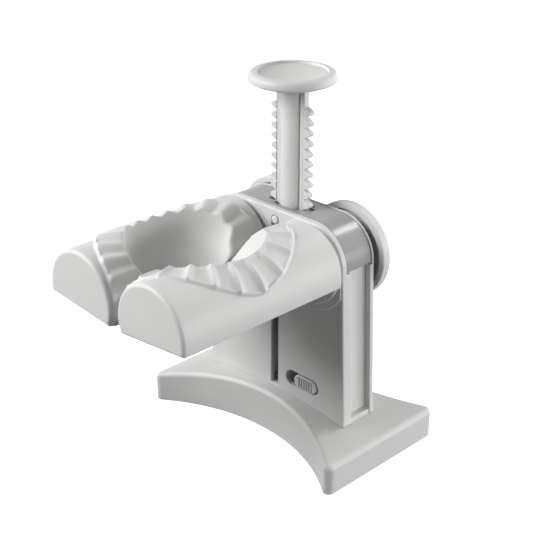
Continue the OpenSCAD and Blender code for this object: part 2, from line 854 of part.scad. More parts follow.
// Rear disc that turns with the mould, dished on its front
module disc(side) {
    color(bright) difference() {
        translate([side * roller_x, disc_y, axis_z]) rotate([-90, 0, 0]) rotate_extrude()
            polygon([
                [0, 0], [disc_hub_r, 0], [disc_hub_r, disc_dish_d], [disc_dish_r, disc_dish_d],
                [disc_dish_r + disc_dish_d / 2, 0], [disc_r - disc_round / 2, 0],
                [disc_r, disc_round / 2], [disc_r, disc_t - disc_round],
                [disc_r - disc_round, disc_t], [0, disc_t],
            ]);
        round_y(side, screw_recess_r, disc_y + disc_t - disc_screw_room, disc_y + disc_t + overrun);
        square_y(side, rear_drive_side + 2 * running_gap, 0, disc_y + disc_t + overrun);
    }
    color(bright) difference() {
        round_y(side, disc_hub_r, rear_y + rear_bush_proud + 2 * seat_gap, disc_y);
        square_y(side, rear_drive_side + 2 * running_gap, 0, disc_y + disc_t + overrun);
    }
}

// Screw that holds the rear disc on its shaft
module disc_screw(side) {
    color(steel) translate([side * roller_x, disc_y + disc_t - disc_screw_room + screw_head_h,
        axis_z]) rotate([90, 0, 0]) screw(disc_screw_l);
}

base();
base_plate();
grip_pad();
plate_screws();
base_screws();
front_cover();
rear_cover();
mid_frame();
trim_band();
front_rails();
rear_rails();
cover_screws();
front_bush(LEFT);  // left_front_bush
front_bush(RIGHT);  // right_front_bush
rear_bush(LEFT);  // left_rear_bush
rear_bush(RIGHT);  // right_rear_bush
lock_retainer();
lock_bolt();
lock_knob();
plunger_rack();
plunger_button();
guide_pin();
mould(LEFT);  // left_mould
shaft(LEFT);  // left_shaft
pinion(LEFT);  // left_pinion
disc(LEFT);  // left_disc
disc_screw(LEFT);  // left_disc_screw
mould(RIGHT);  // right_mould
shaft(RIGHT);  // right_shaft
pinion(RIGHT);  // right_pinion
disc(RIGHT);  // right_disc
disc_screw(RIGHT);  // right_disc_screw
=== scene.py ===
"""Looks of a plunger press that folds and crimps empanadas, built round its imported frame.

Lengths in the classes are millimetres in the frame's own axes: X along the base, the moulds
reach forward to -Y, Z up from the worktop. Meshes are turned to metres when they are made.
"""

import json
import logging
import math
from collections.abc import Callable, Sequence
from dataclasses import dataclass
from enum import Enum

import bmesh
import bpy
import numpy as np
from mathutils import Matrix, Vector


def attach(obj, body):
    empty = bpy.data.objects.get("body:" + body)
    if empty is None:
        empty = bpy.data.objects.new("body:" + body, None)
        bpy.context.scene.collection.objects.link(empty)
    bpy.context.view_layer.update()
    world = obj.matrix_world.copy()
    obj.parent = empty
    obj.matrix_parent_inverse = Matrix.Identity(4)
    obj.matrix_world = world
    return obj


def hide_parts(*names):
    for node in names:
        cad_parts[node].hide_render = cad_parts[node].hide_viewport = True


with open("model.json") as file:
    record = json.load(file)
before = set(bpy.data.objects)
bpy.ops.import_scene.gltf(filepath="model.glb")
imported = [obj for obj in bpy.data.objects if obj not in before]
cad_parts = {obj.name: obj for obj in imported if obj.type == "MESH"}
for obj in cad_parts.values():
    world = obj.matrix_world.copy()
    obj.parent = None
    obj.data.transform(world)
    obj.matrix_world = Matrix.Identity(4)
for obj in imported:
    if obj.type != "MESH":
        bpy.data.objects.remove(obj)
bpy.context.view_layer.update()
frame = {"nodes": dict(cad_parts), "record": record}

log = logging.getLogger("press")

MM = 0.001
TINY = 1e-9
Distance = Callable[[np.ndarray], np.ndarray]
Faces = np.ndarray | Sequence[Sequence[int]]


class Side(Enum):
    """Which of the two rollers a piece belongs to."""

    LEFT = -1
    RIGHT = 1

    @property
    def word(self) -> str:
        """The side's name, as the frame's nodes and bodies spell it."""
        return self.name.lower()


class Axis(Enum):
    """Which way the axis of a turned piece runs: upright, or along the shafts."""

    UPRIGHT = "Z"
    SHAFT = "Y"


# Colour and nodes

def linear(code: str) -> tuple[float, float, float, float]:
    """Turns an sRGB colour into linear values.

    Args:
        code: The colour as six hexadecimal digits after a hash sign.

    Returns:
        Red, green, blue and an opacity of 1.
    """
    shares = [int(code[i:i + 2], 16) / 255 for i in (1, 3, 5)]
    red, green, blue = (
        s / 12.92 if s <= 0.04045 else ((s + 0.055) / 1.055) ** 2.4 for s in shares)
    return (red, green, blue, 1.0)


def node(tree: bpy.types.NodeTree, kind: str, values: dict[str | int, object] | None = None,
         **settings: object) -> bpy.types.Node:
    """Adds a node with its settings and links.

    Args:
        tree: The node tree that gets it.
        kind: The node's type name.
        values: For each input's name or number, a value, or an output socket to link from.
        settings: Attributes of the node itself.

    Returns:
        The new node.
    """
    made = tree.nodes.new(kind)
    for key, value in settings.items():
        setattr(made, key, value)
    for key, value in (values or {}).items():
        if isinstance(value, bpy.types.NodeSocket):
            tree.links.new(value, made.inputs[key])
        else:
            made.inputs[key].default_value = value
    return made


def empty_material(name: str) -> tuple[bpy.types.Material, bpy.types.NodeTree]:
    """Makes a material with an empty node tree.

    Args:
        name: The material's name.

    Returns:
        The material and its tree.
    """
    material = bpy.data.materials.new(name)
    material.use_nodes = True
    material.node_tree.nodes.clear()
    return material, material.node_tree


@dataclass(frozen=True)
class MouldedPlastic:
    """Injection-moulded plastic with the fine satin that a spark-eroded tool leaves on it.

    The satin breaks highlights up into a soft, slightly grainy sheen, and the colour drifts a
    little over each piece where the melt flowed. The real grain is about 0.1 mm wide and too
    fine to show, so it is drawn four to six times as coarse.
    """

    name: str
    colour: str
    shade: str
    roughness: float
    grain_mm: float
    grain_depth_mm: float
    drift_mm: float = 26.0
    drift_share: float = 0.55
    speck_share: float = 0.35
    sheen_spread: float = 0.06
    ior: float = 1.53

    def material(self) -> bpy.types.Material:
        """Builds the material's nodes.

        Returns:
            The material.
        """
        material, tree = empty_material(self.name)
        place = node(tree, "ShaderNodeTexCoord").outputs["Object"]
        drift = node(tree, "ShaderNodeTexNoise", {
            "Vector": place, "Scale": 1 / (self.drift_mm * MM), "Detail": 2.0, "Roughness": 0.5})
        grain = node(tree, "ShaderNodeTexNoise", {
            "Vector": place, "Scale": 1 / (self.grain_mm * MM), "Detail": 3.0, "Roughness": 0.6})
        spread = node(tree, "ShaderNodeMapRange", {
            "Value": drift.outputs["Fac"], "From Min": 0.3, "From Max": 0.7})
        speck = node(tree, "ShaderNodeMapRange", {
            "Value": grain.outputs["Fac"], "From Min": 0.25, "From Max": 0.75,
            "To Min": 0.0, "To Max": self.speck_share})
        amount = node(tree, "ShaderNodeMath", {
            0: spread.outputs["Result"], 1: self.drift_share, 2: speck.outputs["Result"]},
            operation="MULTIPLY_ADD")
        tint = node(tree, "ShaderNodeMix", {
            "Factor": amount.outputs["Value"], "A": linear(self.colour), "B": linear(self.shade)},
            data_type="RGBA")
        sheen = node(tree, "ShaderNodeMapRange", {
            "Value": grain.outputs["Fac"], "From Min": 0.2, "From Max": 0.8,
            "To Min": self.roughness - self.sheen_spread,
            "To Max": self.roughness + self.sheen_spread})
        bump = node(tree, "ShaderNodeBump", {
            "Height": grain.outputs["Fac"], "Strength": 0.6, "Distance": self.grain_depth_mm * MM})
        shader = node(tree, "ShaderNodeBsdfPrincipled", {
            "Base Color": tint.outputs["Result"], "Roughness": sheen.outputs["Result"],
            "IOR": self.ior, "Normal": bump.outputs["Normal"]})
        node(tree, "ShaderNodeOutputMaterial", {"Surface": shader.outputs["BSDF"]})
        return material


@dataclass(frozen=True)
class TurnedSteel:
    """Bright-drawn or zinc-plated steel, whose fine lines run round or along the piece.

    The lines draw highlights out into a streak. They are drawn some ten times as coarse as the
    real ones, so that they show.
    """

    name: str
    colour: str
    roughness: float
    line_mm: float
    stretch: tuple[float, float, float] = (1.0, 0.08, 1.0)
    sheen_spread: float = 0.1

    def material(self) -> bpy.types.Material:
        """Builds the material's nodes.

        Returns:
            The material.
        """
        material, tree = empty_material(self.name)
        place = node(tree, "ShaderNodeTexCoord").outputs["Object"]
        stretched = node(tree, "ShaderNodeMapping", {"Vector": place, "Scale": self.stretch})
        lines = node(tree, "ShaderNodeTexNoise", {
            "Vector": stretched.outputs["Vector"], "Scale": 1 / (self.line_mm * MM), "Detail": 2.0})
        sheen = node(tree, "ShaderNodeMapRange", {
            "Value": lines.outputs["Fac"], "To Min": self.roughness - self.sheen_spread,
            "To Max": self.roughness + self.sheen_spread})
        shader = node(tree, "ShaderNodeBsdfPrincipled", {
            "Base Color": linear(self.colour), "Metallic": 1.0,
            "Roughness": sheen.outputs["Result"]})
        node(tree, "ShaderNodeOutputMaterial", {"Surface": shader.outputs["BSDF"]})
        return material


@dataclass(frozen=True)
class SoftRubber:
    """Soft moulded rubber: dark, matt and faintly pebbled, so that it shows no clear highlight."""

    name: str
    colour: str
    pebble_mm: float
    pebble_depth_mm: float = 0.1
    roughness: float = 0.85

    def material(self) -> bpy.types.Material:
        """Builds the material's nodes.

        Returns:
            The material.
        """
        material, tree = empty_material(self.name)
        place = node(tree, "ShaderNodeTexCoord").outputs["Object"]
        pebbles = node(tree, "ShaderNodeTexVoronoi", {
            "Vector": place, "Scale": 1 / (self.pebble_mm * MM)})
        bump = node(tree, "ShaderNodeBump", {
            "Height": pebbles.outputs["Distance"], "Strength": 0.4,
            "Distance": self.pebble_depth_mm * MM})
        shader = node(tree, "ShaderNodeBsdfPrincipled", {
            "Base Color": linear(self.colour), "Roughness": self.roughness,
            "Normal": bump.outputs["Normal"]})
        node(tree, "ShaderNodeOutputMaterial", {"Surface": shader.outputs["BSDF"]})
        return material


# Shapes by distance: negative inside, all in millimetres

CELLS_BEFORE = 1.37  # cells searched before the box; the fraction keeps flat faces off the grid
CELLS_AFTER = 2
PASSES = 3  # times that the points are moved onto the surface
LEAST_STEEP = 0.05  # keeps a point from being thrown away where the distance is flat


def meet(a: np.ndarray, b: np.ndarray, radius: float) -> np.ndarray:
    """Distance to what two solids share, with the edge between them rounded.

    Args:
        a: Distances to the first solid.
        b: Distances to the second solid.
        radius: Radius of the rounding.

    Returns:
        The distances.
    """
    corner = np.hypot(np.maximum(a + radius, 0), np.maximum(b + radius, 0))
    return np.minimum(np.maximum(a, b), -radius) + corner


def join(a: np.ndarray, b: np.ndarray, radius: float) -> np.ndarray:
    """Distance to two solids together, with a fillet of that radius between them."""
    return -meet(-a, -b, radius)


def cut(a: np.ndarray, b: np.ndarray, radius: float) -> np.ndarray:
    """Distance to the first solid less the second, with the cut's edge rounded."""
    return meet(a, -b, radius)


def between(value: np.ndarray, low: float, high: float) -> np.ndarray:
    """Distance to a slab between two values of one coordinate."""
    return np.maximum(low - value, value - high)


def ease(share: np.ndarray) -> np.ndarray:
    """Eases a share from 0 to 1."""
    held = np.clip(share, 0, 1)
    return held * held * (3 - 2 * held)


def surface_of(distance: Distance, low: Sequence[float], high: Sequence[float],
               step: float) -> tuple[np.ndarray, np.ndarray]:
    """Meshes the surface where a distance is zero, one point for each cell that it crosses.

    Args:
        distance: Gives the distance at points whose last dimension is X, Y and Z.
        low: Lowest corner of the space that is searched.
        high: Its highest corner.
        step: Size of a cell.

    Returns:
        The points, and four point numbers for each face.
    """
    axes = [np.arange(low[i] - CELLS_BEFORE * step, high[i] + CELLS_AFTER * step, step)
            for i in range(3)]
    values = distance(np.stack(np.meshgrid(*axes, indexing="ij"), axis=-1))
    cells = np.array(values.shape) - 1
    ids, places, quads = [], [], []
    for axis in range(3):
        start = np.take(values, np.arange(cells[axis]), axis)
        end = np.take(values, np.arange(1, cells[axis] + 1), axis)
        edges = np.argwhere((start < 0) != (end < 0))
        others = [k for k in range(3) if k != axis]
        edges = edges[np.all((edges[:, others] > 0) & (edges[:, others] < cells[others]), axis=1)]
        a = start[tuple(edges.T)]
        b = end[tuple(edges.T)]
        place = np.stack([axes[k][edges[:, k]] for k in range(3)], axis=1)
        place[:, axis] += a / (a - b) * step
        corners = []
        for shift in ((0, 0), (1, 0), (1, 1), (0, 1)):
            cell = edges.copy()
            cell[:, others[0]] -= shift[0]
            cell[:, others[1]] -= shift[1]
            corners.append((cell[:, 0] * cells[1] + cell[:, 1]) * cells[2] + cell[:, 2])
        quad = np.stack(corners, axis=1)
        turned = (a < 0) == (axis == 1)
        quad[turned] = quad[turned][:, ::-1]
        quads.append(quad)
        ids.append(quad.ravel())
        places.append(np.repeat(place, 4, axis=0))
    used, numbers = np.unique(np.concatenate(ids), return_inverse=True)
    spots = np.concatenate(places)
    counts = np.bincount(numbers, minlength=len(used))
    sums = [np.bincount(numbers, spots[:, k], len(used)) for k in range(3)]
    points = np.stack([total / counts for total in sums], axis=1)
    return points, np.searchsorted(used, np.concatenate(quads))


def slope_at(distance: Distance, points: np.ndarray, probe: float = 0.02) -> np.ndarray:
    """Finds the direction and steepness in which a distance grows.

    Args:
        distance: Gives the distance at points whose last dimension is X, Y and Z.
        points: One row of X, Y and Z for each point.
        probe: How far from each point the distance is read.

    Returns:
        One row of X, Y and Z for each point.
    """
    return np.stack([
        (distance(points + probe * unit) - distance(points - probe * unit)) / (2 * probe)
        for unit in np.eye(3)], axis=1)


def carved(name: str, distance: Distance, low: Sequence[float], high: Sequence[float],
           step: float) -> bpy.types.Object:
    """Makes an object whose surface is where a distance is zero.

    Args:
        name: The object's name.
        distance: Gives the distance at points whose last dimension is X, Y and Z.
        low: Lowest corner of the space that holds it.
        high: Its highest corner.
        step: Size of a cell; roundings should be at least this large.

    Returns:
        The object, shaded with the surface's own directions.
    """
    step *= 1.0
    points, faces = surface_of(distance, low, high, step)
    for _ in range(PASSES):
        slope = slope_at(distance, points)
        steep = np.maximum((slope ** 2).sum(axis=1), LEAST_STEEP)
        move = slope * (distance(points) / steep)[:, None]
        length = np.linalg.norm(move, axis=1, keepdims=True)
        points = points - move * np.minimum(1, step / np.maximum(length, TINY))
    slope = slope_at(distance, points)
    slope /= np.maximum(np.linalg.norm(slope, axis=1, keepdims=True), TINY)
    made = mesh_object(name, points, faces)
    if len(made.data.vertices) == len(points):
        made.data.normals_split_custom_set_from_vertices(slope.tolist())
    return made


# Mesh tools

def mesh_object(name: str, points: np.ndarray, faces: Faces,
                smooth: bool = True) -> bpy.types.Object:
    """Makes an object from points in millimetres.

    Args:
        name: The object's name.
        points: One row of X, Y and Z for each point.
        faces: The point numbers of each face, anticlockwise from outside.
        smooth: Whether the faces are shaded smooth.

    Returns:
        The object, linked to the scene, at the origin.
    """
    mesh = bpy.data.meshes.new(name)
    mesh.from_pydata((np.asarray(points) * MM).tolist(), [], [list(map(int, f)) for f in faces])
    mesh.polygons.foreach_set("use_smooth", [smooth] * len(mesh.polygons))
    made = bpy.data.objects.new(name, mesh)
    bpy.context.scene.collection.objects.link(made)
    return made


def rounded(corners: Sequence[tuple[float, float, float]],
            steps: int = 6) -> list[tuple[float, float]]:
    """Rounds the corners of a profile.

    Args:
        corners: Radius, height and rounding of each corner in order.
        steps: Number of steps in each rounding.

    Returns:
        Radius and height of each point of the rounded profile.
    """
    points: list[tuple[float, float]] = []
    for i, (r, h, bend) in enumerate(corners):
        here = np.array([r, h])
        if bend == 0 or i in (0, len(corners) - 1):
            points.append((r, h))
            continue
        before = np.array(corners[i - 1][:2]) - here
        after = np.array(corners[i + 1][:2]) - here
        before /= np.linalg.norm(before)
        after /= np.linalg.norm(after)
        half = math.acos(float(np.clip(before @ after, -1, 1))) / 2
        reach = bend / math.tan(half)
        middle = here + (before + after) / np.linalg.norm(before + after) * bend / math.sin(half)
        start, end = here + before * reach - middle, here + after * reach - middle
        sweep = math.atan2(start[0] * end[1] - start[1] * end[0], start @ end)
        for step in range(steps + 1):
            a = sweep * step / steps
            turned = np.array([start[0] * math.cos(a) - start[1] * math.sin(a),
                               start[0] * math.sin(a) + start[1] * math.cos(a)])
            points.append(tuple(middle + turned))
    return points


def lathe(name: str, profile: Sequence[tuple[float, float]], centre: tuple[float, float, float],
          axis: Axis = Axis.UPRIGHT, steps: int = 144) -> bpy.types.Object:
    """Turns a profile round an axis.

    Args:
        name: The object's name.
        profile: Radius and height pairs from the axis outwards, upwards and back to the axis.
        centre: Where height 0 lies on the axis.
        axis: Which way the axis runs; heights go up, or along +Y on a shaft.
        steps: Number of steps round.

    Returns:
        The closed object.
    """
    rows = np.array(profile, float)
    angles = np.arange(steps) * 2 * math.pi / steps
    inner = rows[1:-1]
    ring = np.stack([
        inner[:, None, 0] * np.cos(angles), inner[:, None, 0] * np.sin(angles),
        np.broadcast_to(inner[:, None, 1], (len(inner), steps))], axis=-1).reshape(-1, 3)
    points = np.vstack([ring, [[0, 0, rows[0, 1]], [0, 0, rows[-1, 1]]]])
    low, high = len(ring), len(ring) + 1
    faces: list[list[int]] = []
    last = (len(inner) - 1) * steps
    for i in range(steps):
        j = (i + 1) % steps
        faces.append([low, j, i])
        for a in range(0, last, steps):
            faces.append([a + i, a + j, a + steps + j, a + steps + i])
        faces.append([high, last + i, last + j])
    if axis is Axis.SHAFT:
        points = points[:, [0, 2, 1]]
        faces = [face[::-1] for face in faces]
    made = mesh_object(name, points + np.array(centre), faces)
    weigh_normals(made)
    return made


def settle(made: bpy.types.Object) -> bpy.types.Object:
    """Turns an object's evaluated shape into its plain mesh and drops its modifiers.

    Args:
        made: The object with live modifiers.

    Returns:
        The same object.
    """
    graph = bpy.context.evaluated_depsgraph_get()
    mesh = bpy.data.meshes.new_from_object(made.evaluated_get(graph))
    made.modifiers.clear()
    old = made.data
    made.data = mesh
    if old.users == 0:
        bpy.data.meshes.remove(old)
    return made


def weigh_normals(made: bpy.types.Object, sharp_deg: float = 40.0) -> None:
    """Shades large faces flat and the roundings between them smooth.

    Args:
        made: The object.
        sharp_deg: Edges that bend more than this stay hard.
    """
    work = bmesh.new()
    work.from_mesh(made.data)
    sharp = math.radians(sharp_deg)
    for edge in work.edges:
        edge.smooth = len(edge.link_faces) == 2 and edge.calc_face_angle(0.0) < sharp
    work.to_mesh(made.data)
    work.free()
    weight = made.modifiers.new("weight", "WEIGHTED_NORMAL")
    weight.keep_sharp = True
    settle(made)


# The press

@dataclass(frozen=True)
class Upright:
    """Sizes of the upright's front view and of the base's arch that it stands on."""

    foot_half: float = 44.0
    lean: float = 3.9
    top_z: float = 111.6
    corner_r: float = 17.5
    front_y: float = -10.5
    rear_y: float = 10.5
    wall: float = 2.5
    channel: float = 3.0
    base_w: float = 118.0
    crown_z: float = 21.0
    end_z: float = 14.5
    shaft_x: float = 22.5
    shaft_z: float = 92.0

    @property
    def arch_r(self) -> float:
        """Radius of the base's arched top."""
        rise = self.crown_z - self.end_z
        return ((self.base_w / 2) ** 2 + rise ** 2) / (2 * rise)

    @property
    def foot_z(self) -> float:
        """Height of the arch at the upright's sides."""
        return self.crown_z - self.arch_r + math.sqrt(self.arch_r ** 2 - self.foot_half ** 2)

    def over_arch(self, points: np.ndarray) -> np.ndarray:
        """Height of each point over the base's arched top."""
        return np.hypot(points[..., 0], points[..., 2] - self.crown_z + self.arch_r) - self.arch_r

    def outline(self, points: np.ndarray, inset: float = 0.0) -> np.ndarray:
        """Finds the distance to the upright's front view.

        Args:
            points: Points whose last dimension is X, Y and Z.
            inset: How far the view is drawn in.

        Returns:
            The distance at each point, negative inside.
        """
        x, z = np.abs(points[..., 0]), points[..., 2]
        slant = math.atan(self.lean / (self.top_z - self.foot_z))
        side = (x - self.foot_half) * math.cos(slant) + (z - self.foot_z) * math.sin(slant)
        return meet(side + inset, z - self.top_z + inset, self.corner_r - inset)

    def at_shaft(self, points: np.ndarray) -> np.ndarray:
        """Distance of each point from the nearer shaft's axis."""
        return np.hypot(np.abs(points[..., 0]) - self.shaft_x, points[..., 2] - self.shaft_z)


UPRIGHT = Upright()


@dataclass(frozen=True)
class Base:
    """Waisted base shell with an arched top and soft edges."""

    half_w: float = 59.0
    half_d: float = 36.0
    waist: float = 17.0
    corner_r: float = 3.5
    edge_r: float = 2.4
    horn_r: float = 0.8
    rim_r: float = 0.5
    wall: float = 2.5
    top_wall: float = 3.0
    hollow_r: float = 1.0
    low_z: float = 0.4
    plate_z: float = 2.9
    plate_boss_r: float = 3.2
    plate_screw: tuple[float, float] = (38.0, 13.96)
    plate_bore: tuple[float, float] = (1.3, 11.0)  # radius, top
    foot_boss_r: float = 4.4
    foot_screw: tuple[float, float] = (32.0, 12.0)
    foot_bore_r: float = 1.7
    cell: float = 0.5

    def plan(self, points: np.ndarray) -> np.ndarray:
        """Finds the distance to the base's outline, seen from above.

        Args:
            points: Points whose last dimension is X, Y and Z.

        Returns:
            The distance at each point, negative inside.
        """
        x, y = np.abs(points[..., 0]), np.abs(points[..., 1])
        block = meet(x - self.half_w, y - self.half_d, self.corner_r)
        reach, deep = self.half_w - self.corner_r, self.half_d - self.waist
        radius = (reach ** 2 + deep ** 2) / (2 * deep)
        return meet(block, radius - np.hypot(x, y - self.waist - radius), self.horn_r)

    def distance(self, points: np.ndarray) -> np.ndarray:
        """Finds the distance to the base shell.

        Args:
            points: Points whose last dimension is X, Y and Z.

        Returns:
            The distance at each point, negative inside.
        """
        x, y, z = np.abs(points[..., 0]), np.abs(points[..., 1]), points[..., 2]
        plan, top = self.plan(points), UPRIGHT.over_arch(points)
        block = meet(meet(plan, top, self.edge_r), self.low_z - z, self.rim_r)
        hollow = meet(plan + self.wall, top + self.top_wall, self.hollow_r)
        at_plate = np.hypot(x - self.plate_screw[0], y - self.plate_screw[1])
        at_foot = np.hypot(x - self.foot_screw[0], y)
        posts = np.minimum(np.maximum(at_plate - self.plate_boss_r, self.plate_z - z),
                           np.maximum(at_foot - self.foot_boss_r, self.foot_screw[1] - z))
        plate_bore = np.maximum(at_plate - self.plate_bore[0], z - self.plate_bore[1])
        bores = np.minimum(plate_bore, at_foot - self.foot_bore_r)
        return np.maximum(np.maximum(block, -cut(hollow, posts, self.rim_r)), -bores)

    def build(self) -> bpy.types.Object:
        """Makes the base's mesh."""
        return carved("base_shell", self.distance, (-self.half_w, -self.half_d, 0),
                      (self.half_w, self.half_d, UPRIGHT.crown_z), self.cell)


@dataclass(frozen=True)
class Cover:
    """Front or rear shell of the upright, with its rim, cut-outs and soft edges."""

    front: bool
    rim_d: float
    edge_r: float
    lip_r: float = 0.35
    cut_r: float = 0.2
    collar_r: float = 21.0
    collar_h: float = 0.6
    collar_root: float = 1.0
    collar_fillet: float = 0.25
    bore_r: float = 7.1
    arch_gap: float = 0.1
    band_y: tuple[float, float] = (-7.6, 8.9)
    band_z: float = 91.9
    slot_half: float = 2.3
    slot_z: tuple[float, float] = (22.9, 106.3)
    window: tuple[float, float] = (17.85, 30.3)
    window_size: tuple[float, float] = (20.3, 7.7)
    screws: tuple[tuple[float, float], ...] = ((33.84, 44.19), (32.46, 69.55))
    screw_bore_r: float = 1.7
    recess: tuple[float, float] = (3.0, 1.5)  # radius, depth
    recess_edge: float = 0.3
    cell: float = 0.42

    def distance(self, points: np.ndarray) -> np.ndarray:
        """Finds the distance to the cover.

        Args:
            points: Points whose last dimension is X, Y and Z.

        Returns:
            The distance at each point, negative inside.
        """
        x, y, z = points[..., 0], points[..., 1], points[..., 2]
        outside = UPRIGHT.front_y if self.front else -UPRIGHT.rear_y
        deep = y if self.front else -y
        outline = UPRIGHT.outline(points)
        body = meet(outline, outside - deep, self.edge_r)
        body = meet(body, deep - outside - self.rim_d, self.lip_r)
        pocket = np.maximum(UPRIGHT.outline(points, UPRIGHT.channel), outside + UPRIGHT.wall - deep)
        body = cut(body, pocket, self.lip_r)
        if self.front:
            face = outside - self.collar_h - deep
            collar = meet(UPRIGHT.at_shaft(points) - self.collar_r, face, self.lip_r)
            root = np.maximum(deep - outside - self.collar_root, outline + self.collar_root)
            body = join(body, np.maximum(collar, root), self.collar_fillet)
        body = cut(body, UPRIGHT.at_shaft(points) - self.bore_r, self.cut_r)
        rebate = np.maximum(between(y, *self.band_y), self.band_z - z)
        rebate = np.maximum(rebate, -UPRIGHT.outline(points, UPRIGHT.channel))
        body = cut(body, rebate, self.cut_r)
        body = cut(body, UPRIGHT.over_arch(points) - self.arch_gap, self.cut_r)
        if not self.front:
            for across, up in self.screws:
                away = np.hypot(np.abs(x) - across, z - up)
                sunk = np.maximum(away - self.recess[0], deep - outside - self.recess[1])
                body = cut(body, sunk, self.recess_edge)
                body = cut(body, away - self.screw_bore_r, self.cut_r)
            return body
        slot = np.abs(x) - self.slot_half
        slot = np.where(z > self.slot_z[1], np.hypot(x, z - self.slot_z[1]) - self.slot_half, slot)
        body = cut(body, np.maximum(slot, self.slot_z[0] - z), self.lip_r)
        long, tall = self.window_size
        along = np.maximum(np.abs(x - self.window[0]) - (long - tall) / 2, 0)
        return cut(body, np.hypot(along, z - self.window[1]) - tall / 2, self.lip_r)

    def build(self) -> bpy.types.Object:
        """Makes the cover's mesh.

        Returns:
            The front or the rear cover.
        """
        name = "front_cover_shell" if self.front else "rear_cover_shell"
        ends = (UPRIGHT.front_y - self.collar_h, UPRIGHT.front_y + self.rim_d)
        if not self.front:
            ends = (UPRIGHT.rear_y - self.rim_d, UPRIGHT.rear_y)
        return carved(name, self.distance, (-UPRIGHT.foot_half, ends[0], UPRIGHT.foot_z),
                      (UPRIGHT.foot_half, ends[1], UPRIGHT.top_z), self.cell)


@dataclass(frozen=True)
class Band:
    """Silver-grey band that wraps the upright's top between the covers."""

    inset: float = 0.4
    inner: float = 2.9
    ends: tuple[float, float] = (-7.35, 8.65)
    low_z: float = 92.5
    edge_r: float = 0.35
    rack_half: tuple[float, float] = (12.6, 2.1)
    rib_half: tuple[float, float] = (7.1, 4.75)
    rear_inset: float = 2.2
    cut_r: float = 0.3
    cell: float = 0.36

    def distance(self, points: np.ndarray) -> np.ndarray:
        """Finds the distance to the band.

        Args:
            points: Points whose last dimension is X, Y and Z.

        Returns:
            The distance at each point, negative inside.
        """
        x, y, z = np.abs(points[..., 0]), points[..., 1], points[..., 2]
        ring = meet(UPRIGHT.outline(points, self.inset), between(y, *self.ends), self.edge_r)
        ring = meet(ring, self.low_z - z, self.edge_r)
        ring = np.maximum(ring, -UPRIGHT.outline(points, self.inner))
        rack = np.maximum(x - self.rack_half[0], np.abs(y) - self.rack_half[1])
        rib = np.maximum(x - self.rib_half[0], np.abs(y) - self.rib_half[1])
        rear = np.maximum(x - self.rack_half[0] + self.rear_inset, between(y, 0, self.rib_half[1]))
        return cut(ring, np.minimum(np.minimum(rack, rib), rear), self.cut_r)

    def build(self) -> bpy.types.Object:
        """Makes the band's mesh."""
        half = UPRIGHT.foot_half
        return carved("trim_band_shell", self.distance, (-half, self.ends[0], self.low_z),
                      (half, self.ends[1], UPRIGHT.top_z), self.cell)


